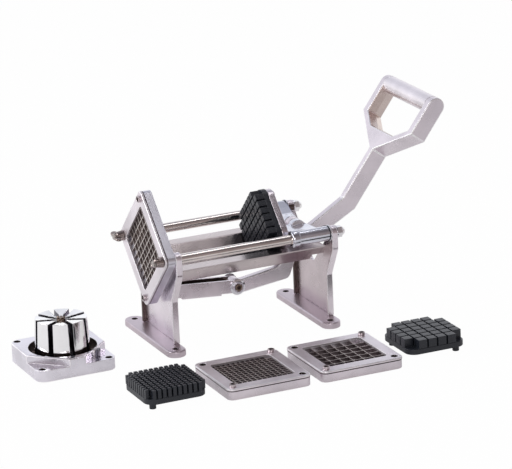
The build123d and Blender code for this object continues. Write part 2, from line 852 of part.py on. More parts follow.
with BuildPart() as wedge_frame:
    with BuildSketch(wedge_plane):
        RectangleRounded(wedge_side, wedge_side, wedge_corner)
    extrude(amount=wedge_height)
    with BuildSketch(wedge_plane.offset(wedge_ledge)):
        with Locations(*low_corners):
            Rectangle(wedge_cut * sqrt(2), wedge_cut * sqrt(2), rotation=45)
    extrude(amount=wedge_height, mode=Mode.SUBTRACT)
    chamfer(wedge_frame.faces().sort_by(Axis.Z)[-1].outer_wire().edges(), wedge_bevel)
    with BuildSketch(wedge_plane):
        Circle(wedge_window)
        with GridLocations(wedge_hole_square, wedge_hole_square, 2, 2):
            Circle(stud_radius + bolt_clearance)
    extrude(amount=wedge_height, mode=Mode.SUBTRACT)
    with BuildSketch(wedge_plane.offset(wedge_knife_level)):
        wedge_arm_pattern()
    extrude(amount=wedge_knife_depth, mode=Mode.SUBTRACT)
keep(wedge_frame, "wedge_frame")

with BuildPart() as wedge_knives:
    with BuildSketch(wedge_plane.offset(wedge_knife_level)):
        wedge_arm_pattern()
        Circle(wedge_hub_radius)
        Circle(wedge_screw_radius + bolt_clearance, mode=Mode.SUBTRACT)
    extrude(amount=wedge_knife_depth)
keep(wedge_knives, "wedge_knives")

with BuildPart() as wedge_pusher:
    finger_profile = Plane(origin=wedge_plane.origin, x_dir=(1, 0, 0), z_dir=(0, -1, 0))
    with BuildSketch(finger_profile):
        Polygon(
            (0, 0),
            (finger_bottom_radius, 0),
            (finger_top_radius, finger_top),
            (finger_bore, finger_top - finger_dish),
            (finger_bore, hub_disc),
            (0, hub_disc),
            align=None,
        )
    revolve(axis=Axis(wedge_plane.origin, (0, 0, 1)))
    with BuildSketch(wedge_plane.offset(hub_disc)):
        with PolarLocations(0, wedge_arms, angular_range=180):
            Rectangle(3 * finger_bottom_radius, finger_gap)
    extrude(amount=finger_top, mode=Mode.SUBTRACT)
keep(wedge_pusher, "wedge_pusher")

with BuildPart() as wedge_screw:
    with BuildSketch(wedge_plane.offset(hub_disc)):
        Circle(wedge_screw_radius)
    extrude(amount=wedge_screw_top - hub_disc)
    with BuildSketch(wedge_plane.offset(wedge_screw_top - wedge_screw_head)):
        RegularPolygon(wedge_screw_flats / 2, 6, major_radius=False)
    extrude(amount=wedge_screw_head)
keep(wedge_screw, "wedge_screw")
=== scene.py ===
import bpy, bmesh, json, math
from mathutils import Matrix, Vector

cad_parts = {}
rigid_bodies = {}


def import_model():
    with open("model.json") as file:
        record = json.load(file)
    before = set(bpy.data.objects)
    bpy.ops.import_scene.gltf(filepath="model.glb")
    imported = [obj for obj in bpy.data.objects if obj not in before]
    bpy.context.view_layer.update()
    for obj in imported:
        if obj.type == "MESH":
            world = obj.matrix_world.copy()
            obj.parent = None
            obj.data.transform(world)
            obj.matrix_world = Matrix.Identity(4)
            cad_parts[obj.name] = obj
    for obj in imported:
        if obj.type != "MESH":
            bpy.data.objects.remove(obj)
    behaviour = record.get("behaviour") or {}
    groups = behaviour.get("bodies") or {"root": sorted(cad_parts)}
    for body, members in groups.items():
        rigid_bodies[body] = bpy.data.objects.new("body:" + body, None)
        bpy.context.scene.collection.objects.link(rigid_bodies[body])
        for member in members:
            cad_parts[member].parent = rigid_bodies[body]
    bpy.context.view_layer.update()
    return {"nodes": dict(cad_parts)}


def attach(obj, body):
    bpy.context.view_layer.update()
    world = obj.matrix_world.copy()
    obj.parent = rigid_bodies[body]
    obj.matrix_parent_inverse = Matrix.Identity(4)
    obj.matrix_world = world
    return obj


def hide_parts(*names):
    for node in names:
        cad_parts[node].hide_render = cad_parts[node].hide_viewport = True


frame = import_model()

nodes = frame["nodes"]
mm = 0.001

# ---------------------------------------------------------------- camera
# A long lens stands low off the near front corner, so that the rods run away to the right
# and the spare knife sets lie open in front of the machine.
camera_place = Vector((-1.536, -3.645, 1.349))
camera_azimuth = math.radians(-23.34)
camera_elevation = math.radians(17.33)
camera_roll = math.radians(-2.576)
lens_mm = 240.5
sensor_mm = 36

back = Vector((
    math.sin(camera_azimuth) * math.cos(camera_elevation),
    -math.cos(camera_azimuth) * math.cos(camera_elevation),
    math.sin(camera_elevation),
))
level_right = Vector((math.cos(camera_azimuth), math.sin(camera_azimuth), 0))
level_up = back.cross(level_right)
right = level_right * math.cos(camera_roll) + level_up * math.sin(camera_roll)
up = level_up * math.cos(camera_roll) - level_right * math.sin(camera_roll)
bpy.ops.object.camera_add()
camera = bpy.context.object
camera.matrix_world = Matrix.Translation(camera_place) @ Matrix((right, up, back)).transposed().to_4x4()
camera.data.lens = lens_mm
camera.data.sensor_width = sensor_mm
camera.data.clip_end = 30
bpy.context.scene.camera = camera
bpy.context.scene.view_settings.view_transform = "Standard"


# ---------------------------------------------------------------- white table and backdrop
# A sheet of matt white paper on a table, wider than the view. It takes the soft shadow of
# each piece. The camera sees it lifted to a paper white, and metal mirrors a part of that.
def linear(code):
    """An sRGB hex colour as the linear RGBA that the shaders take."""
    parts = [int(code[i:i + 2], 16) / 255 for i in (1, 3, 5)]
    return [c / 12.92 if c <= 0.04045 else ((c + 0.055) / 1.055) ** 2.4 for c in parts] + [1]


def new_material(name):
    """An empty material with nodes."""
    made = bpy.data.materials.new(name)
    made.use_nodes = True
    made.node_tree.nodes.clear()
    return made


def add_node(tree, kind, links=None, **settings):
    """Adds a node, sets its properties and values, and joins its inputs to other nodes."""
    made = tree.nodes.new(kind)
    values = settings.pop("values", {})
    for key, value in settings.items():
        setattr(made, key, value)
    for key, value in values.items():
        made.inputs[key].default_value = value
    for key, (source, output) in (links or {}).items():
        tree.links.new(source.outputs[output], made.inputs[key])
    return made


paper_size = 14
paper_seen = 0.985  # share of plain white in what the camera sees
# What metal mirrors of the paper grows whiter from the near side of the machine to its far side: painted
# light for a sweep lit from behind.
near_edge, far_edge = -0.4, 0.3
mirrored_near, mirrored_far = 0.24, 0.53  # share of plain white in what metal mirrors

# Matt paper: no gloss of its own, only its colour and the white that is added for the camera.
paper = new_material("white_paper")
tree = paper.node_tree
paper_diffuse = add_node(tree, "ShaderNodeBsdfDiffuse", values={"Color": linear("#F4F3F2")})
paper_glow = add_node(tree, "ShaderNodeEmission", values={"Color": linear("#FFFFFF"), "Strength": 1.0})
paper_path = add_node(tree, "ShaderNodeLightPath")
paper_place = add_node(tree, "ShaderNodeTexCoord")
paper_split = add_node(tree, "ShaderNodeSeparateXYZ", {0: (paper_place, "Object")})
paper_depth = add_node(tree, "ShaderNodeMapRange", {0: (paper_split, "Y")}, values={
    "From Min": near_edge, "From Max": far_edge, "To Min": mirrored_near, "To Max": mirrored_far})
paper_mirrored = add_node(tree, "ShaderNodeMath", {0: (paper_path, "Is Glossy Ray"), 1: (paper_depth, 0)},
                          operation="MULTIPLY")
paper_share = add_node(tree, "ShaderNodeMath", {0: (paper_path, "Is Camera Ray"), 2: (paper_mirrored, 0)},
                       operation="MULTIPLY_ADD", values={1: paper_seen})
paper_mix = add_node(tree, "ShaderNodeMixShader",
                     {0: (paper_share, 0), 1: (paper_diffuse, 0), 2: (paper_glow, 0)})
add_node(tree, "ShaderNodeOutputMaterial", {"Surface": (paper_mix, 0)})
bpy.ops.mesh.primitive_plane_add(size=paper_size, location=(0, 2, 0))
bpy.ops.object.transform_apply()
table = bpy.context.object
table.name = "table"
table.data.materials.append(paper)


# ---------------------------------------------------------------- studio light
# A white sweep behind the machine and a dim room before it, which the polished metal
# mirrors as light and brown bands. A tube lamp overhead draws the bright line on the
# rods, and two soft panels light the near side and the ends.
def ramp(tree, source, stops):
    """A colour ramp with the given places and sRGB colours."""
    made = add_node(tree, "ShaderNodeValToRGB", {0: source})
    while len(made.color_ramp.elements) < len(stops):
        made.color_ramp.elements.new(0.5)
    for element, (place, code) in zip(made.color_ramp.elements, stops):
        element.position = place
        element.color = linear(code)
    return made


def softbox(name, place, target, size, power):
    """A rectangular area lamp that faces a point of the machine."""
    bpy.ops.object.light_add(type="AREA", location=place)
    lamp = bpy.context.object
    lamp.name = name
    lamp.data.shape = "RECTANGLE"
    lamp.data.energy = power
    lamp.data.size, lamp.data.size_y = size
    lamp.rotation_euler = (Vector(target) - Vector(place)).to_track_quat("-Z", "Y").to_euler()


room_strength = 1.05
machine_middle = (0, 0, 0.1)
height_stops = [(0.0, "#FFFFFF"), (0.4, "#EFF1F8"), (0.75, "#B0B1BA"), (1.0, "#9FA0AA")]
depth_stops = [(0.0, "#968A86"), (0.35, "#A79C98"), (0.65, "#FFFFFF"), (1.0, "#FFFFFF")]
world = bpy.data.worlds.new("studio")
bpy.context.scene.world = world
world.use_nodes = True
tree = world.node_tree
tree.nodes.clear()
room_place = add_node(tree, "ShaderNodeTexCoord")
room_split = add_node(tree, "ShaderNodeSeparateXYZ", {0: (room_place, "Generated")})
room_height = ramp(tree, (room_split, "Z"), height_stops)
room_depth = add_node(tree, "ShaderNodeMapRange", {0: (room_split, "Y")}, values={"From Min": -1.0})
room_side = ramp(tree, (room_depth, 0), depth_stops)
room_colour = add_node(tree, "ShaderNodeMix", {6: (room_height, 0), 7: (room_side, 0)},
                       data_type="RGBA", blend_type="MULTIPLY", values={"Factor": 1.0})
room_light = add_node(tree, "ShaderNodeBackground", {"Color": (room_colour, 2)},
                      values={"Strength": room_strength})
add_node(tree, "ShaderNodeOutputWorld", {"Surface": (room_light, 0)})
softbox("overhead_tube", (0.45, -0.17, 1.5), machine_middle, (1.2, 0.12), 1.25)
softbox("near_panel", (-0.9, -1.9, 0.8), machine_middle, (0.9, 0.9), 9)
softbox("left_panel", (-1.7, 0.4, 0.8), machine_middle, (0.9, 0.9), 12)


# ---------------------------------------------------------------- foot bars and stands
# Aluminium castings, tumbled to a satin skin that rounds every edge. Each stand is a
# ribbed plate, open to the front, that is screwed to its foot bar.
def metal(name, code, roughness, grain_mm, grain_height, stretch=(1, 1, 1), wear=0.06):
    """Bare metal: one colour, a grain in the bump, and slow changes of gloss and tone.

    Tumbling and grinding leave a finer grain, which wouldn't show, so it is drawn coarser.
    The noise stays mostly between 0.3 and 0.7, which is what gives the full change of gloss.
    """
    grain_depth_mm = 0.1
    patch_mm = 35
    darkest, lightest = 0.90, 1.08
    made = new_material(name)
    tree = made.node_tree
    place = add_node(tree, "ShaderNodeTexCoord")
    pull = add_node(tree, "ShaderNodeMapping", {0: (place, "Object")}, values={"Scale": stretch})
    grain = add_node(tree, "ShaderNodeTexNoise", {"Vector": (pull, 0)},
                     values={"Scale": 1 / (grain_mm * mm), "Detail": 4})
    patches = add_node(tree, "ShaderNodeTexNoise", {"Vector": (place, "Object")},
                       values={"Scale": 1 / (patch_mm * mm), "Detail": 3})
    gloss = add_node(tree, "ShaderNodeMapRange", {0: (patches, 0)}, values={
        "From Min": 0.3, "From Max": 0.7, "To Min": roughness - wear, "To Max": roughness + wear})
    bump = add_node(tree, "ShaderNodeBump", {"Height": (grain, 0)},
                    values={"Strength": grain_height, "Distance": grain_depth_mm * mm})
    tone = add_node(tree, "ShaderNodeMapRange", {0: (patches, 0)}, values={
        "From Min": 0.35, "From Max": 0.65, "To Min": darkest, "To Max": lightest})
    shade = add_node(tree, "ShaderNodeVectorMath", {"Scale": (tone, 0)}, operation="SCALE",
                     values={0: linear(code)[:3]})
    surface = add_node(tree, "ShaderNodeBsdfPrincipled",
                       {"Base Color": (shade, 0), "Roughness": (gloss, 0), "Normal": (bump, 0)},
                       values={"Metallic": 1.0})
    add_node(tree, "ShaderNodeOutputMaterial", {"Surface": (surface, 0)})
    return made


def alone(piece):
    """Selects one object, makes it the active one and drops all other selections."""
    bpy.ops.object.select_all(action="DESELECT")
    piece.select_set(True)
    bpy.context.view_layer.objects.active = piece


def joined(pieces):
    """Joins pieces into one object, the last of them."""
    alone(pieces[-1])
    for piece in pieces[:-1]:
        piece.select_set(True)
    if len(pieces) > 1:
        bpy.ops.object.join()
    return pieces[-1]


def copy_of(*names, whole_faces=False):
    """A copy of CAD solids as one merged mesh, its flat faces made whole where asked."""
    copies = []
    for name in names:
        alone(nodes[name])
        bpy.ops.object.duplicate()
        bpy.ops.object.parent_clear(type="CLEAR_KEEP_TRANSFORM")
        for key in list(bpy.context.object.keys()):
            del bpy.context.object[key]
        copies.append(bpy.context.object)
    merged = joined(copies)
    bpy.ops.object.mode_set(mode="EDIT")
    bpy.ops.mesh.select_all(action="SELECT")
    bpy.ops.mesh.remove_doubles(threshold=0.002 * mm)
    if whole_faces:
        bpy.ops.mesh.dissolve_limited(angle_limit=math.radians(1))
    bpy.ops.object.mode_set(mode="OBJECT")
    return merged


def round_edges(piece, width, steps=3, angle=30, edge_and_highlight=None):
    """Rounds the sharp edges of a piece and keeps its flat faces flat to the light.

    A second finish can go on the rounded edges alone, a paler one that is partly a painted highlight;
    mount() gives the first one.
    """
    alone(piece)
    if edge_and_highlight:
        piece.data.materials.clear()
        piece.data.materials.append(edge_and_highlight)
        piece.data.materials.append(edge_and_highlight)
    bpy.ops.object.shade_smooth()
    bpy.ops.object.modifier_add(type="BEVEL")
    rounding = piece.modifiers[-1]
    rounding.width = width * mm
    rounding.segments = steps
    rounding.limit_method = "ANGLE"
    rounding.angle_limit = math.radians(angle)
    rounding.material = 1 if edge_and_highlight else -1
    rounding.use_clamp_overlap = False
    rounding.loop_slide = False
    bpy.ops.object.modifier_apply(modifier=rounding.name)
    bpy.ops.object.modifier_add(type="WEIGHTED_NORMAL")
    flat = piece.modifiers[-1]
    flat.keep_sharp = True
    bpy.ops.object.modifier_apply(modifier=flat.name)


def mount(piece, name, body, slot, finish, *stands_for):
    """Names a finished piece, gives it its finish and lets it ride on a body."""
    piece.name = piece.data.name = name
    places = [face.material_index for face in piece.data.polygons]
    finishes = [finish] + list(piece.data.materials)[1:]
    piece.data.materials.clear()
    for one in finishes:
        piece.data.materials.append(one)
    for face, place in zip(piece.data.polygons, places):
        face.material_index = place
    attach(piece, body)
    if stands_for:
        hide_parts(*stands_for)


def paint(piece, finish, test, seat=Matrix()):
    """Gives another finish to the faces whose middle (mm) and normal pass a test.

    Both are taken as they lie on a seat, which is the machine's own frame if none is given.
    """
    piece.data.materials.append(finish)
    to_seat = seat.inverted()
    for face in piece.data.polygons:
        if test(to_seat @ face.center / mm, to_seat.to_3x3() @ face.normal):
            face.material_index = len(piece.data.materials) - 1


def hole_walls(places, radius):
    """A test for the walls of holes that are drilled along Z at the given places."""
    return lambda middle, facing: (
        abs(facing.z) < 0.3 and min(math.hypot(middle.x - x, middle.y - y) for x, y in places) < radius + 0.1)


# Tumbled cast aluminium: a pale satin that blurs what it mirrors. Its rounded edges are paler where the
# stones rub them, and that paleness is also a painted highlight. Recesses and drilled holes are painted dark
# brown as painted shade.
cast_satin = metal("tumbled_cast_aluminium", "#E4DCE2", 0.27, 0.7, 0.02)
rubbed_edge_and_highlight = metal("rubbed_edge_painted_highlight", "#FBF8FB", 0.48, 0.7, 0.02)
recess_shade = metal("painted_recess_shade", "#5E5250", 0.34, 1.2, 0.2)
hole_shade = metal("painted_hole_shade", "#4E4341", 0.6, 0.5, 0.3)
foot_satin = metal("worn_cast_aluminium", "#CFC3CB", 0.36, 0.7, 0.06)
# The stands take a lighter copy of the satin, which is painted light, and the rear stand's web a darker copy,
# which is painted shade.
lit_stand_satin = metal("painted_light_stand_satin", "#F0E8EE", 0.27, 0.7, 0.02)
shaded_stand_web = metal("painted_shade_stand_web", "#D0C4C7", 0.27, 0.7, 0.02)

foot_holes = [(x, y) for x in (-102, 102) for y in (-65, 65)]
foot_hole_radius = 3.75
flange_reach = 40  # the side flanges of a stand lie further out than this
flange_inside, flange_outside = 45, 52  # the straight foot of a flange
foot_top, flange_bend = 12, 72
for place, web_light_and_shade in (("front", lit_stand_satin), ("rear", shaded_stand_web)):
    bar = copy_of(f"{place}_foot")
    round_edges(bar, 0.7)
    mount(bar, f"{place}_foot_bar", "base", "cast_satin", foot_satin, f"{place}_foot")
    # The walls of the foot's bolt holes are painted dark as painted shade.
    paint(bar, hole_shade, hole_walls(foot_holes, foot_hole_radius))
    casting = copy_of(f"{place}_stand")
    # The rounded edges take the pale edge finish, which is partly a painted highlight.
    round_edges(casting, 0.9, edge_and_highlight=rubbed_edge_and_highlight)
    mount(casting, f"{place}_stand_casting", "base", "cast_satin", lit_stand_satin, f"{place}_stand")
    # Web faces: painted light on the front stand, painted shade on the rear one.
    paint(casting, web_light_and_shade, lambda middle, facing: abs(facing.x) > 0.9)
    # The flanges' inner walls and the far flange's front edge are painted dark brown as painted shade.
    paint(casting, recess_shade, lambda middle, facing: abs(facing.y) > 0.8 and facing.y * middle.y < 0
          and abs(middle.y) > flange_reach)
    paint(casting, recess_shade, lambda middle, facing: flange_inside < middle.y < flange_outside
          and foot_top < middle.z < flange_bend and facing.x < -0.3)


# ---------------------------------------------------------------- guide rods
# Two ground steel rods with a threaded stud turned at each end. They clamp the stands
# between their shoulders and the nuts, and the carriage slides on them.
def pick(kind, test):
    """In edit mode, selects the points, edges or faces whose middle and normal pass a test.

    The test gets the middle in mm. For an edge it gets its direction in place of a normal.
    """
    bpy.ops.mesh.select_mode(type=kind)
    bpy.ops.mesh.select_all(action="DESELECT")
    form = bmesh.from_edit_mesh(bpy.context.object.data)
    for bit in {"VERT": form.verts, "EDGE": form.edges, "FACE": form.faces}[kind]:
        if kind == "VERT":
            middle, facing = bit.co, bit.normal
        elif kind == "EDGE":
            start, end = (point.co for point in bit.verts)
            middle, facing = (start + end) / 2, (end - start).normalized()
        else:
            middle, facing = bit.calc_center_median(), bit.normal
        if test(middle / mm, facing):
            bit.select_set(True)
    form.select_flush_mode()
    bmesh.update_edit_mesh(bpy.context.object.data)


def turned(profile, place, along, steps=48):
    """A lathe-turned form: points (along, radius) in mm from a place, spun about an axis."""
    along = Vector(along).normalized()
    out = along.orthogonal().normalized()
    points = [(Vector(place) + along * run + out * radius) * mm for run, radius in profile]
    bpy.ops.object.select_all(action="DESELECT")
    bpy.ops.mesh.primitive_plane_add(size=mm, location=(0, 0, 0))
    bpy.ops.object.mode_set(mode="EDIT")
    bpy.ops.mesh.select_mode(type="VERT")
    bpy.ops.mesh.select_all(action="SELECT")
    bpy.ops.mesh.merge(type="CENTER")
    bpy.ops.transform.translate(value=points[0])
    for before, after in zip(points, points[1:]):
        bpy.ops.mesh.extrude_region_move(TRANSFORM_OT_translate={"value": after - before})
    bpy.ops.mesh.select_all(action="SELECT")
    bpy.ops.mesh.spin(steps=steps, angle=math.tau, center=Vector(place) * mm, axis=along)
    bpy.ops.mesh.select_all(action="SELECT")
    bpy.ops.mesh.remove_doubles(threshold=0.001 * mm)
    bpy.ops.mesh.normals_make_consistent(inside=False)
    bpy.ops.object.mode_set(mode="OBJECT")
    bpy.ops.object.shade_smooth_by_angle(angle=math.radians(32))
    return bpy.context.object


# Ground steel: bright, with fine scratches round the rod that spread a lamp's line a little.
polished_rod = metal("ground_steel_rod", "#EAE2DE", 0.13, 0.35, 0.10, stretch=(1, 0.2, 0.2), wear=0.03)

# Rolled steel thread: grey bands that follow the real pitch. The wave texture repeats 20
# times in 2 pi units at a scale of 1.
thread_pitch = 1.25
thread_depth = 0.5
threaded_stud = metal("rolled_steel_thread", "#B9B2AE", 0.3, 0.5, 0.1)
tree = threaded_stud.node_tree
thread_place = add_node(tree, "ShaderNodeTexCoord")
thread = add_node(tree, "ShaderNodeTexWave", {"Vector": (thread_place, "Object")},
                  wave_type="BANDS", bands_direction="X", wave_profile="TRI",
                  values={"Scale": math.tau / (20 * thread_pitch * mm)})
thread_bump = add_node(tree, "ShaderNodeBump", {"Height": (thread, 0)},
                       values={"Strength": 1.0, "Distance": thread_depth * mm})
tree.links.new(thread_bump.outputs[0], tree.nodes["Principled BSDF"].inputs["Normal"])

rod_places = {"near": -62.2254, "far": 62.2254}
rod_level = 117.5
rod_front = -125
front_shoulder, rear_shoulder, rod_length = 35, 231, 246  # from the rod's front end
rod_radius, rod_chamfer = 6, 0.4
stud_radius, stud_chamfer = 4, 0.7
relief, relief_length = 0.3, 0.6  # where the thread runs out at a shoulder
rod_profile = [
    (0, 0),
    (0, stud_radius - stud_chamfer),
    (stud_chamfer, stud_radius),
    (front_shoulder - relief_length, stud_radius),
    (front_shoulder, stud_radius - relief),
    (front_shoulder, rod_radius - rod_chamfer),
    (front_shoulder + rod_chamfer, rod_radius),
    (rear_shoulder - rod_chamfer, rod_radius),
    (rear_shoulder, rod_radius - rod_chamfer),
    (rear_shoulder, stud_radius - relief),
    (rear_shoulder + relief_length, stud_radius),
    (rod_length - stud_chamfer, stud_radius),
    (rod_length, stud_radius - stud_chamfer),
    (rod_length, 0),
]
for side, y in rod_places.items():
    rod = turned(rod_profile, (rod_front, y, rod_level), (1, 0, 0), 64)
    mount(rod, f"{side}_rod", "base", "polished_rod", polished_rod, f"{side}_guide_rod")
    paint(rod, threaded_stud,
          lambda middle, facing: math.hypot(middle.y - y, middle.z - rod_level) < stud_radius + 0.1)

# ---------------------------------------------------------------- washers and dome nuts
# A plain washer and a plated dome nut on each rod, behind the rear stand. The nut is a
# hexagon with chamfered corners and a round cap.

# Chrome mirrors all round it; nickel is as pale, but spreads what it mirrors.
bright_plate = metal("chrome_plate", "#E9E8EE", 0.10, 0.6, 0.05, wear=0.03)
nickel_plate = metal("nickel_plate", "#FAF8FA", 0.30, 0.6, 0.04)
washers = copy_of("rod_washers")
round_edges(washers, 0.3)
mount(washers, "stand_washers", "base", "bright_plate", bright_plate, "rod_washers")

nut_seat = 115.5
nut_flats, nut_height = 13, 6
nut_chamfer = 1.1
dome_profile = [(5.6, 4.0), (5.6, 5.6), (6.6, 5.3), (8.8, 4.5), (10.2, 3.3), (11.0, 1.7), (11.2, 0)]
dome = turned(dome_profile, (nut_seat, rod_places["near"], rod_level), (1, 0, 0))
bpy.ops.mesh.primitive_cylinder_add(
    vertices=6, radius=nut_flats / math.sqrt(3) * mm, depth=nut_height * mm, rotation=(0, math.pi / 2, 0),
    location=Vector((nut_seat + nut_height / 2, rod_places["near"], rod_level)) * mm)
bpy.ops.object.transform_apply()
bpy.ops.object.mode_set(mode="EDIT")
pick("FACE", lambda middle, facing: facing.x > 0.9)
bpy.ops.mesh.inset(thickness=nut_chamfer * mm)
bpy.ops.transform.translate(value=(0.5 * mm, 0, 0))
bpy.ops.object.mode_set(mode="OBJECT")
hexagon = bpy.context.object
round_edges(hexagon, 0.35, 2)
near_nut = joined([dome, hexagon])
bpy.ops.object.duplicate()
bpy.ops.transform.translate(value=(0, (rod_places["far"] - rod_places["near"]) * mm, 0))
bpy.ops.object.transform_apply()
nut_pair = joined([near_nut, bpy.context.object])
mount(nut_pair, "dome_nut_pair", "base", "bright_plate", nickel_plate, "dome_nuts")

# ---------------------------------------------------------------- trough rails
# Two bent stainless sheets that carry the food. Each has a level flange along the rod, a
# slope to the gap in the middle, and a tab that is fixed to the rear stand.

# Brushed sheet: scratches along the rail draw what it mirrors out across it.
sheet_steel = metal("brushed_stainless_sheet", "#CFC5C5", 0.24, 0.6, 0.3, stretch=(0.02, 1, 1))
sheet = 2.0
rail_start, rail_end, tab_end = -90.0, 101.0, 110.5
flange_top, flange_edge, bend_line, gap_edge = 101.93, 61.0, 41.0, 12.5
tab_inside, tab_outside = 19.68, 33.82
for side, sign in (("near", -1), ("far", 1)):
    bpy.ops.object.select_all(action="DESELECT")
    flange_middle = Vector(((rail_start + rail_end) / 2, sign * (flange_edge + bend_line) / 2, flange_top))
    bpy.ops.mesh.primitive_plane_add(size=1, location=flange_middle * mm)
    rail = bpy.context.object
    rail.scale = ((rail_end - rail_start) * mm, (flange_edge - bend_line) * mm, 1)
    bpy.ops.object.transform_apply()
    bpy.ops.object.mode_set(mode="EDIT")
    pick("EDGE", lambda middle, run: abs(middle.y - sign * bend_line) < 0.1)
    drop = (bend_line - gap_edge) * mm
    bpy.ops.mesh.extrude_region_move(TRANSFORM_OT_translate={"value": (0, -sign * drop, -drop)})
    for cut in (tab_inside, tab_outside):
        bpy.ops.mesh.select_all(action="SELECT")
        bpy.ops.mesh.bisect(plane_co=(0, sign * cut * mm, 0), plane_no=(0, 1, 0))
    pick("EDGE", lambda middle, run: middle.x > rail_end - 0.1 and tab_inside < sign * middle.y < tab_outside)
    bpy.ops.mesh.extrude_region_move(TRANSFORM_OT_translate={"value": ((tab_end - rail_end) * mm, 0, 0)})
    pick("EDGE", lambda middle, run: abs(middle.y - sign * bend_line) < 0.1)
    bpy.ops.mesh.bevel(offset=0.9 * mm, segments=5, affect="EDGES")
    bpy.ops.object.mode_set(mode="OBJECT")
    bpy.ops.object.modifier_add(type="SOLIDIFY")
    rail.modifiers[-1].thickness = sheet * mm
    rail.modifiers[-1].offset = -1
    bpy.ops.object.modifier_apply(modifier=rail.modifiers[-1].name)
    round_edges(rail, 0.3, 2, 60)
    mount(rail, f"{side}_bent_rail", "base", "sheet_steel", sheet_steel, f"{side}_trough_rail")


# ---------------------------------------------------------------- knife sets
# A cast square frame and its cover clamp two crossed layers of ground knives, with two
# socket screws. One set hangs on the front studs; a fine and a coarse one are spares.
def seat_of(origin, across, facing):
    """The matrix of a part's seat from its origin, its first direction and its normal."""
    across, facing = Vector(across).normalized(), Vector(facing).normalized()
    turn = Matrix((across, facing.cross(across), facing)).transposed().to_4x4()
    return Matrix.Translation(Vector(origin) * mm) @ turn


def ground_knives(name, seat, cells, level, height, turn, flat_shade, edges, node):
    """One layer of knives in a frame: a strip ground to an edge, repeated across the window."""
    pitch = window / cells
    first = -pitch * (cells - 2) / 2
    bpy.ops.object.select_all(action="DESELECT")
    bpy.ops.mesh.primitive_cube_add(size=1, location=(0, first * mm, (level + height / 2) * mm))
    knife = bpy.context.object
    knife.scale = (knife_length * mm, knife_thickness * mm, height * mm)
    bpy.ops.object.transform_apply()
    bpy.ops.object.mode_set(mode="EDIT")
    bpy.ops.mesh.select_all(action="SELECT")
    bpy.ops.mesh.bisect(plane_co=(0, 0, (level + ground_height) * mm), plane_no=(0, 0, 1))
    pick("VERT", lambda middle, facing: abs(middle.z - level) < 0.05)
    bpy.ops.transform.resize(value=(1, edge_share, 1), center_override=(0, first * mm, level * mm))
    bpy.ops.object.mode_set(mode="OBJECT")
    bpy.ops.object.modifier_add(type="ARRAY")
    row = knife.modifiers[-1]
    row.count = cells - 1
    row.use_relative_offset = False
    row.use_constant_offset = True
    row.constant_offset_displace = (0, pitch * mm, 0)
    bpy.ops.object.modifier_apply(modifier=row.name)
    knife.matrix_world = seat @ Matrix.Rotation(turn, 4, "Z")
    bpy.ops.object.transform_apply()
    # The knife walls take the flat-side finish, which is painted darker as painted shade in the cells.
    mount(knife, name, "base", "knife_steel", flat_shade, node)
    paint(knife, edges, lambda middle, facing: facing.z > 0.9, seat)


def socket_screws(name, body, seat, level, places, node, radius=4.2, height=3.5):
    """Socket screws on a seat: a turned head with a round edge and a round socket."""
    heads = []
    for x, y in places:
        bpy.ops.object.select_all(action="DESELECT")
        bpy.ops.mesh.primitive_cylinder_add(vertices=36, radius=radius * mm, depth=height * mm,
                                            location=(x * mm, y * mm, (level + height / 2) * mm))
        head = bpy.context.object
        bpy.ops.object.transform_apply()
        bpy.ops.object.mode_set(mode="EDIT")
        pick("FACE", lambda middle, facing: facing.z > 0.9)
        bpy.ops.mesh.inset(thickness=(radius - socket_radius) * mm)
        bpy.ops.mesh.extrude_region_move(TRANSFORM_OT_translate={"value": (0, 0, -0.4 * height * mm)})
        bpy.ops.object.mode_set(mode="OBJECT")
        round_edges(head, 0.45, 3, 50)
        heads.append(head)
    screws = joined(heads)
    screws.matrix_world = seat
    bpy.ops.object.transform_apply()
    mount(screws, name, body, "bright_plate", worn_screw, node)
    # The socket's wall and floor are painted nearly black as painted shade.
    paint(screws, socket_shade, lambda middle, facing: level + 0.2 < middle.z < level + height - 0.2 and min(
        math.hypot(middle.x - x, middle.y - y) for x, y in places) < socket_radius + 0.2, seat)


def paint_joint(piece, seat, side):
    """Darkens the rounded outer edge where a frame and its cover meet, on the given side."""
    to_seat = seat.inverted()
    levels = [(to_seat @ point.co).z / mm for point in piece.data.vertices]
    joint = max(levels) if side > 0 else min(levels)
    paint(piece, joint_grime, lambda middle, facing: abs(middle.z - joint) < 0.95
          and 0.1 < facing.z * side < 0.97 and max(abs(middle.x), abs(middle.y)) > 46, seat)


# Tumbled castings, a little duller than the stands. Grime gathers where the two meet.
cover_satin = metal("tumbled_cover_casting", "#EEE8ED", 0.40, 0.7, 0.03)
frame_satin = metal("tumbled_knife_frame", "#E2E1EA", 0.36, 0.7, 0.02, wear=0.02)
joint_grime = metal("joint_grime", "#6E6468", 0.45, 0.6, 0.1)
# Ground knife steel: pale edges, and flat sides that mirror one another and the table and are painted darker
# as painted shade in the cells. The coarse set's edges are a dimmer grey.
knife_steel = metal("ground_knife_edge", "#EAE2DE", 0.35, 0.5, 0.1)
dimmer_edges = metal("dimmer_knife_edge", "#C6BCB8", 0.40, 0.5, 0.1)
machine_flat_shade = metal("painted_shade_machine_knife_flat", "#A89C98", 0.42, 0.5, 0.2)
spare_flat_shade = metal("painted_shade_spare_knife_flat", "#73686A", 0.42, 0.5, 0.2)
# Steel screws: a worn grey head, and a socket painted nearly black as painted shade inside it.
worn_screw = metal("worn_screw_head", "#D2C8CA", 0.30, 0.5, 0.06)
socket_shade = metal("painted_socket_shade", "#4A3C3A", 0.5, 0.5, 0.2)

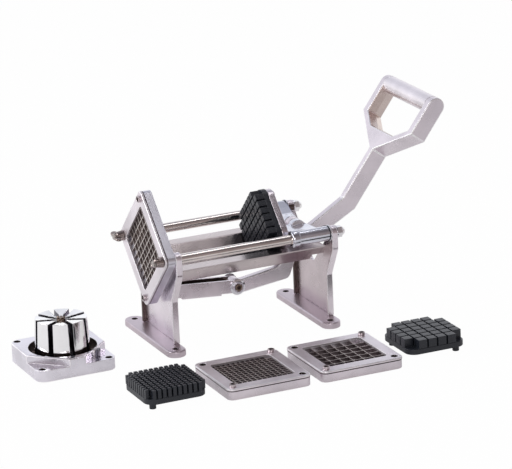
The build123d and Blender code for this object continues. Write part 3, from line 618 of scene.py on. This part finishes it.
window = 76.2
knife_length, knife_thickness = 84, 0.9
ground_height, edge_share = 2.6, 0.2  # the ground part of a knife, and how thin it ends
back_level, back_height = 2.0, 8.7  # the back layer is notched and reaches into the front one
front_level, front_height = 6.5, 4.5
cover_top = 14
socket_radius = 3.0
stud_hole_radius = 4.15
stud_holes = ((44, 44), (-44, -44))
screw_places = ((44, -44), (-44, 44))
machine_seat = seat_of((-98, 0, rod_level), (0, 1, 1), (-1, 0, 0))
fine_seat = seat_of((-59, -193.3, 0), (0, 1, 0), (0, 0, 1))
coarse_seat = seat_of((59.2, -194, 0), (0, 1, 0), (0, 0, 1))
for prefix, seat, cells, satin, flat_shade, edges in (
        ("knife", machine_seat, 8, frame_satin, machine_flat_shade, knife_steel),
        ("fine", fine_seat, 12, cast_satin, spare_flat_shade, knife_steel),
        ("coarse", coarse_seat, 6, cast_satin, spare_flat_shade, dimmer_edges)):
    casting = copy_of(f"{prefix}_frame")
    round_edges(casting, 0.9)
    mount(casting, f"{prefix}_frame_casting", "base", "cast_satin", satin, f"{prefix}_frame")
    # The walls of the stud holes are painted dark as painted shade.
    paint(casting, hole_shade, hole_walls(stud_holes, stud_hole_radius), seat)
    paint_joint(casting, seat, 1)
    casting = copy_of(f"{prefix}_cover")
    # The rounded edges take the pale edge finish, which is partly a painted highlight.
    round_edges(casting, 0.6, edge_and_highlight=rubbed_edge_and_highlight)
    mount(casting, f"{prefix}_cover_casting", "base", "cast_satin", cover_satin, f"{prefix}_cover")
    # The walls of the stud holes are painted dark as painted shade.
    paint(casting, hole_shade, hole_walls(stud_holes, stud_hole_radius), seat)
    paint_joint(casting, seat, -1)
    ground_knives(f"{prefix}_back_row", seat, cells, back_level, back_height, 0, flat_shade, edges,
                  f"{prefix}_back_knives")
    ground_knives(f"{prefix}_front_row", seat, cells, front_level, front_height, math.pi / 2, flat_shade, edges,
                  f"{prefix}_front_knives")
    socket_screws(f"{prefix}_socket_screws", "base", seat, cover_top, screw_places, f"{prefix}_cover_screws")

# ---------------------------------------------------------------- pin blocks
# Moulded black plastic blocks of square pins that push the food between the knives. Two
# pegs on the back of a block fit the pusher plate; two blocks lie ready on the table.

# The mould leaves a fine, even texture with a soft shine, so the black looks blue-grey.
texture_mm, texture_depth_mm = 0.8, 0.1
dark_plastic = new_material("moulded_black_plastic")
tree = dark_plastic.node_tree
place = add_node(tree, "ShaderNodeTexCoord")
grain = add_node(tree, "ShaderNodeTexNoise", {"Vector": (place, "Object")},
                 values={"Scale": 1 / (texture_mm * mm), "Detail": 3})
bump = add_node(tree, "ShaderNodeBump", {"Height": (grain, 0)},
                values={"Strength": 0.25, "Distance": texture_depth_mm * mm})
surface = add_node(tree, "ShaderNodeBsdfPrincipled", {"Normal": (bump, 0)},
                   values={"Base Color": linear("#20242C"), "Roughness": 0.33})
add_node(tree, "ShaderNodeOutputMaterial", {"Surface": (surface, 0)})
for name, body in (("pusher_block", "carriage"), ("fine_block", "base"), ("coarse_block", "base")):
    block = copy_of(name)
    round_edges(block, 0.35, 2, 40)
    mount(block, f"{name}_moulding", body, "dark_plastic", dark_plastic, name)


# ---------------------------------------------------------------- carriage
# A polished yoke casting with a sleeve and collar round each rod and two eyes for the
# lever pin. Plain bushings with black wipers run on the rods, and the pusher plate is cast on.
def dress(finish, *names):
    """Gives CAD solids whose shape is right their finish."""
    for name in names:
        nodes[name].data.materials.clear()
        nodes[name].data.materials.append(finish)


# Buffed casting: it mirrors the room with a slight blur. The ends of the hub stay as cast.
buffed_casting = metal("buffed_cast_aluminium", "#E2E3EC", 0.17, 0.9, 0.02, wear=0.04)
hub_end = metal("as_cast_hub_end", "#F4F0F2", 0.55, 1.2, 0.1)
hub_reach = 24
yoke = copy_of("carriage_yoke")
round_edges(yoke, 1.1, 3, 35)
mount(yoke, "yoke_casting", "carriage", "cast_satin", buffed_casting, "carriage_yoke")
paint(yoke, hub_end, lambda middle, facing: abs(facing.y) > 0.9 and abs(middle.y) < hub_reach)
plate = copy_of("pusher_plate")
round_edges(plate, 0.9)
mount(plate, "pusher_plate_casting", "carriage", "cast_satin", cast_satin, "pusher_plate")
dress(polished_rod, "slide_bushings")

bushing_end = 103.2
wiper_profile = [(0, 9), (0, 9.5), (1.3, 9.5), (1.3, 9), (0, 9)]
lip_profile = [(1.3, 9), (1.3, 9.6), (1.7, 10), (2.2, 10), (2.5, 9.6), (2.5, 9), (1.3, 9)]
for name, profile, slot, finish in (("rod_wipers", wiper_profile, "dark_plastic", dark_plastic),
                                    ("bushing_lips", lip_profile, "bright_plate", bright_plate)):
    pair = joined([turned(profile, (bushing_end, y, rod_level), (1, 0, 0)) for y in rod_places.values()])
    mount(pair, name, "carriage", slot, finish, "bushing_rings")

plate_back = seat_of((59.2, 0, rod_level), (0, 1, 1), (1, 0, 0))
block_screw_places = ((28, 28), (-28, -28))
socket_screws("block_socket_screws", "carriage", plate_back, 0, block_screw_places, "block_screws", 4.5, 3.0)

lever_pivot = (87, 0, 113.5)
lever_pin_profile = [(-14, 0), (-14, 3.4), (-13.4, 4), (13.4, 4), (14, 3.4), (14, 0)]
lever_pin = turned(lever_pin_profile, lever_pivot, (0, 1, 0))
mount(lever_pin, "lever_pin_turned", "carriage", "polished_rod", polished_rod, "lever_pin")

# ---------------------------------------------------------------- lever and handle
# One bright casting: a flat bar with two bends, whose foot takes the elbow bolt and whose
# end opens into a loop round the hand grip. The loop's walls fall away from a parting line.

# The walls of the window stay rougher and browner; the grip is scratched by hands.
window_wall = metal("raw_casting_window", "#DCCDC6", 0.24, 3.0, 0.9)
grip_metal = metal("scratched_grip", "#F0EAEF", 0.34, 0.9, 0.06)
lever_depth = 22.4
handle_angle = math.radians(53.2)
bend_place = Vector((153.1, 0, 139.0))
along = Vector((math.cos(handle_angle), 0, math.sin(handle_angle)))
rearward = Vector((along.z, 0, -along.x))
mid_depth = bend_place + rearward * lever_depth / 2
window_middle = mid_depth + along * 128
seam = 70  # where the bar meets the loop, along the handle


def run(middle):
    """How far a point lies along the handle, from the lever's front bend."""
    return (middle - bend_place).dot(along)


def on_parting_line(middle):
    """Whether a point lies halfway through the depth of the lever."""
    return abs((middle - mid_depth).dot(rearward)) < 0.05


casting = copy_of("lever_bar", "handle_loop", whole_faces=True)
bpy.ops.object.mode_set(mode="EDIT")
pick("FACE", lambda middle, facing: abs(run(middle) - seam) < 0.1 and abs(facing.dot(along)) > 0.9)
bpy.ops.mesh.delete(type="FACE")
pick("FACE", lambda middle, facing: run(middle) > seam - 1)
bpy.ops.mesh.bisect(plane_co=mid_depth * mm, plane_no=rearward)
# The window's wall closes in to a ridge at the parting line, and the outer wall swells.
for low, high, inside, outside, growth in ((80, 158, 20, 56, 0.955), (106, 158, 60, 70, 1.008)):
    pick("VERT", lambda middle, facing: on_parting_line(middle) and low < run(middle) < high
         and inside < abs(middle.y) < outside)
    bpy.ops.transform.resize(value=(growth, growth, growth), center_override=window_middle * mm)
pick("EDGE", lambda middle, facing: on_parting_line(middle) and run(middle) > 80
     and abs(facing.dot(rearward)) < 0.1)
bpy.ops.mesh.mark_sharp()
bpy.ops.object.mode_set(mode="OBJECT")
# The rounded edges take the pale edge finish, which is partly a painted highlight.
round_edges(casting, 1.5, 4, 22, rubbed_edge_and_highlight)
mount(casting, "lever_casting", "lever", "cast_satin", cast_satin, "lever_bar", "handle_loop")
paint(casting, window_wall, lambda middle, facing: abs(facing.dot(rearward)) < 0.6 and run(middle) > 84
      and (window_middle - middle).dot(facing) > 8)

grip_half, grip_radius, grip_run = 55.5, 11.2, 151.5
grip_profile = [(-grip_half, 0), (-grip_half, grip_radius), (-54, grip_radius), (0, grip_radius),
                (54, grip_radius), (grip_half, grip_radius), (grip_half, 0)]
grip = turned(grip_profile, mid_depth + along * grip_run, (0, 1, 0), 64)
mount(grip, "grip_bar", "lever", "cast_satin", grip_metal, "handle_grip")
dress(polished_rod, "elbow_shank")

# ---------------------------------------------------------------- link, bracket and elbow
# A cast channel from the bracket on the front stand to the lever's foot. It turns on a
# headed pin at the bracket, and on a bolt with washers at the elbow.

# The bolt's brass-coloured plating has gone dull and brown.
dull_copper = metal("dull_brass_screw", "#857468", 0.35, 0.5, 0.2)
channel = copy_of("link_channel")
round_edges(channel, 0.9, 3, 35)
mount(channel, "link_casting", "link", "cast_satin", cast_satin, "link_channel")
# The channel's inner walls are painted dark brown as painted shade.
paint(channel, recess_shade, lambda middle, facing: abs(facing.y) > 0.8 and facing.y * middle.y < 0)
bracket = copy_of("link_bracket")
round_edges(bracket, 0.8)
mount(bracket, "bracket_casting", "base", "cast_satin", cast_satin, "link_bracket")

elbow = Vector((4, 0, 52.5))
elbow_wall = 7  # from the middle of the link to the seat of each washer
hexagon_flats, hexagon_height, hexagon_level = 8.2, 2, 8.6  # the level is its middle above the seat
socket_reach, socket_floor = 2.9, 16.8
washer_profile = [(0, 0), (0, 4), (5, 4), (5, 9.3), (5.6, 10), (6.2, 10), (6.8, 9.4), (7.2, 7.5),
                  (9.0, 7.2), (9.6, 6.7), (9.6, 5.3), (9.2, 4.9), (7.9, 4.8), (7.9, 0)]
for name, node, side in (("elbow_bolt", "elbow_bolt_head", -1), ("elbow_locknut", "elbow_nut", 1)):
    wall = elbow + Vector((0, side * elbow_wall, 0))
    washer = turned(washer_profile, wall, (0, side, 0))
    mount(washer, f"{name}_washer", "link", "bright_plate", bright_plate, node)
    bpy.ops.object.select_all(action="DESELECT")
    bpy.ops.mesh.primitive_cylinder_add(
        vertices=6, radius=hexagon_flats / math.sqrt(3) * mm, depth=hexagon_height * mm,
        location=(wall + Vector((0, side * hexagon_level, 0))) * mm, rotation=(math.pi / 2, 0, 0))
    head = bpy.context.object
    bpy.ops.object.transform_apply()
    bpy.ops.object.mode_set(mode="EDIT")
    pick("FACE", lambda middle, facing: facing.y * side > 0.9)
    bpy.ops.mesh.inset(thickness=0.7 * mm)
    bpy.ops.transform.translate(value=(0, side * 0.4 * mm, 0))
    bpy.ops.mesh.inset(thickness=1.1 * mm)
    bpy.ops.mesh.extrude_region_move(TRANSFORM_OT_translate={"value": (0, -side * 1.6 * mm, 0)})
    bpy.ops.object.mode_set(mode="OBJECT")
    round_edges(head, 0.2, 2)
    mount(head, f"{name}_hexagon", "link", "copper_screw", dull_copper, node)
    # The socket in the bolt end is painted nearly black as painted shade.
    paint(head, socket_shade, lambda middle, facing: abs(middle.y) < socket_floor
          and math.hypot(middle.x - elbow.x, middle.z - elbow.z) < socket_reach)

bracket_pivot = (-80, 0, 59.4)
link_pin_profile = [(-14.3, 0), (-14.3, 5.9), (-13.7, 6.5), (-12.3, 6.5), (-12.3, 4), (12.3, 4),
                    (12.3, 6.5), (13.7, 6.5), (14.3, 5.9), (14.3, 0)]
link_pin = turned(link_pin_profile, bracket_pivot, (0, 1, 0))
mount(link_pin, "link_pin_turned", "base", "polished_rod", polished_rod, "link_pin")

# ---------------------------------------------------------------- wing nuts
# Cast wing nuts on the front studs hold the knife set. Each has a tapered hub and two
# thick round wings that lean away from the cover.

# Cast zinc, plated once and now dull: a middle grey with a soft shine.
dull_zinc = metal("dull_zinc_casting", "#A89C98", 0.20, 0.9, 0.25)
hub_profile = [(0, 4.1), (0, 6.0), (0.5, 6.5), (8.4, 5.2), (9, 4.6), (9, 4.1), (0, 4.1)]
cover_face = -112.3
wing_radius, wing_thickness = 4.5, 3
wing_reach, wing_lean = 7, 8.5  # the wing's middle from the stud and from the cover
root_share = 0.7  # a wing's root against its tip
for side, turn in (("near", math.radians(-40)), ("far", math.radians(12))):
    seat = Vector((cover_face, rod_places[side], rod_level))
    outward = Vector((0, math.cos(turn), math.sin(turn)))
    upright = Vector((0, -outward.z, outward.y))
    hub = turned(hub_profile, seat, (-1, 0, 0))
    wings = []
    for hand in (1, -1):
        tip = seat + outward * hand * wing_reach - Vector((wing_lean, 0, 0))
        bpy.ops.object.select_all(action="DESELECT")
        bpy.ops.mesh.primitive_cylinder_add(vertices=28, radius=wing_radius * mm, depth=wing_thickness * mm,
                                            location=tip * mm,
                                            rotation=upright.to_track_quat("Z", "X").to_euler())
        wing = bpy.context.object
        bpy.ops.object.transform_apply()
        bpy.ops.object.mode_set(mode="EDIT")
        pick("FACE", lambda middle, facing: facing.dot(outward) * hand < -0.55
             and abs(facing.dot(upright)) < 0.1)
        inward = (-outward * hand * 2.6 + Vector((3.6, 0, 0))) * mm
        bpy.ops.mesh.extrude_region_move(TRANSFORM_OT_translate={"value": inward})
        root = (seat + outward * hand * 3 - Vector((4.6, 0, 0))) * mm
        bpy.ops.transform.resize(value=(root_share, root_share, root_share), center_override=root)
        bpy.ops.object.mode_set(mode="OBJECT")
        round_edges(wing, 0.9, 3, 40)
        wings.append(wing)
    wing_nut = joined([*wings, hub])
    mount(wing_nut, f"{side}_wing_nut_casting", f"{side}_wing_nut", "bright_plate", dull_zinc,
          f"{side}_wing_nut")

# ---------------------------------------------------------------- wedge cutter
# A cast square frame with two low corners round a ring of crossed knives, and a chromed
# pusher of eight fingers that passes between them. A castle nut holds the middle.

# The frame is satin, and the fingers are a mirror but for the milled walls of their slots, which are
# duller and painted dark grey as painted shade in the narrow slots.
wedge_satin = metal("tumbled_wedge_frame", "#EAE7EF", 0.27, 0.7, 0.02)
mirror_chrome = metal("mirror_chrome", "#FFFFFF", 0.08, 0.6, 0.02, wear=0.02)
slot_shade = metal("milled_slot_painted_shade", "#6A6A74", 0.30, 0.8, 0.1)
wedge_place = Vector((-230.5, -25.3, 0))
wedge_seat = Matrix.Translation(wedge_place * mm)
wedge_holes = [(x, y) for x in (-42, 42) for y in (-42, 42)]
ring_radius = 41
casting = copy_of("wedge_frame")
# The rounded edges take the pale edge finish, which is partly a painted highlight.
round_edges(casting, 0.5, 3, 35, rubbed_edge_and_highlight)
mount(casting, "wedge_frame_casting", "base", "cast_satin", wedge_satin, "wedge_frame")
# The walls of the stud holes are painted dark as painted shade.
paint(casting, hole_shade, hole_walls(wedge_holes, stud_hole_radius), wedge_seat)
# The walls round the ring of knives are painted dark brown as painted shade.
paint(casting, recess_shade,
      lambda middle, facing: abs(facing.z) < 0.3 and abs(middle.xy.length - ring_radius) < 0.8, wedge_seat)
dress(knife_steel, "wedge_knives")

# The fingers' slots are milled wider above the pusher's foot, to slide past the knives.
finger_foot = 4.9
slot_half, slot_widening = 2.0, 1.1
slot_runs = [Vector((math.cos(step * math.pi / 4), math.sin(step * math.pi / 4), 0)) for step in range(8)]
fingers = copy_of("wedge_pusher")
bpy.ops.object.mode_set(mode="EDIT")
for slot_run in slot_runs:
    slot_side = Vector((-slot_run.y, slot_run.x, 0))
    for hand in (1, -1):
        pick("VERT", lambda middle, facing: middle.z > finger_foot
             and (middle - wedge_place).dot(slot_run) > 4
             and abs((middle - wedge_place).dot(slot_side) * hand - slot_half) < 0.05)
        bpy.ops.transform.translate(value=slot_side * hand * slot_widening * mm)
bpy.ops.object.mode_set(mode="OBJECT")
round_edges(fingers, 0.4, 3, 35)
mount(fingers, "finger_casting", "base", "bright_plate", mirror_chrome, "wedge_pusher")
# The walls of the finger slots are painted dark grey as painted shade.
paint(fingers, slot_shade, lambda middle, facing: any(
    abs(facing.dot(side)) > 0.99 and abs(abs(middle.dot(side)) - slot_half - slot_widening) < 0.1
    for side in slot_runs[:4]), wedge_seat)

castle_profile = [(5, 0), (5, 3), (51, 3), (51, 4.6), (51.6, 5.2), (57.4, 5.2), (57.8, 4.8), (57.8, 3),
                  (58.6, 3), (59, 2.6), (59, 0)]
lug_count = 6
screw = turned(castle_profile, wedge_place, (0, 0, 1), 36)
bpy.ops.object.select_all(action="DESELECT")
bpy.ops.mesh.primitive_cube_add(size=1, location=(wedge_place + Vector((4.0, 0, 58.2))) * mm)
lugs = bpy.context.object
lugs.scale = (2.2 * mm, 2.0 * mm, 2.4 * mm)
bpy.ops.object.transform_apply()
bpy.ops.object.mode_set(mode="EDIT")
bpy.ops.mesh.select_all(action="SELECT")
bpy.ops.mesh.spin(steps=lug_count - 1, angle=math.tau * (lug_count - 1) / lug_count,
                  center=wedge_place * mm, axis=(0, 0, 1), dupli=True)
bpy.ops.object.mode_set(mode="OBJECT")
round_edges(lugs, 0.3, 2)
castle_screw = joined([lugs, screw])
mount(castle_screw, "castle_screw", "base", "copper_screw", dull_copper, "wedge_screw")

# ---------------------------------------------------------------- corner boss and bolt
# A round boss on the low near corner of the wedge cutter's frame, with a square-headed
# steel bolt that locks the frame.

# Blackened steel: a dark grey that still mirrors a little.
gun_metal = metal("blackened_steel", "#5C5A62", 0.30, 0.5, 0.05)
square_width, square_height = 8.4, 3.4
corner_facing = Vector((1, -1, 0)).normalized()
corner_wall = wedge_place + Vector((30, -30, 18.6))
boss_profile = [(-0.5, 0), (-0.5, 6.2), (1.0, 6.2), (1.6, 5.6), (1.6, 0)]
boss = turned(boss_profile, corner_wall, corner_facing, 40)
# The whole boss takes the pale edge finish, which is partly a painted highlight.
mount(boss, "corner_boss", "base", "cast_satin", rubbed_edge_and_highlight)
bpy.ops.object.select_all(action="DESELECT")
bpy.ops.mesh.primitive_cube_add(size=1, location=(corner_wall + corner_facing * 2.8) * mm,
                                rotation=(0, 0, -math.pi / 4))
bolt = bpy.context.object
bolt.scale = (square_height * mm, square_width * mm, square_width * mm)
bpy.ops.object.transform_apply()
bpy.ops.object.mode_set(mode="EDIT")
pick("FACE", lambda middle, facing: facing.dot(corner_facing) > 0.9)
bpy.ops.mesh.inset(thickness=0.9 * mm)
bpy.ops.transform.translate(value=corner_facing * 0.5 * mm)
bpy.ops.object.mode_set(mode="OBJECT")
round_edges(bolt, 0.3, 2)
mount(bolt, "corner_bolt", "base", "bright_plate", gun_metal)
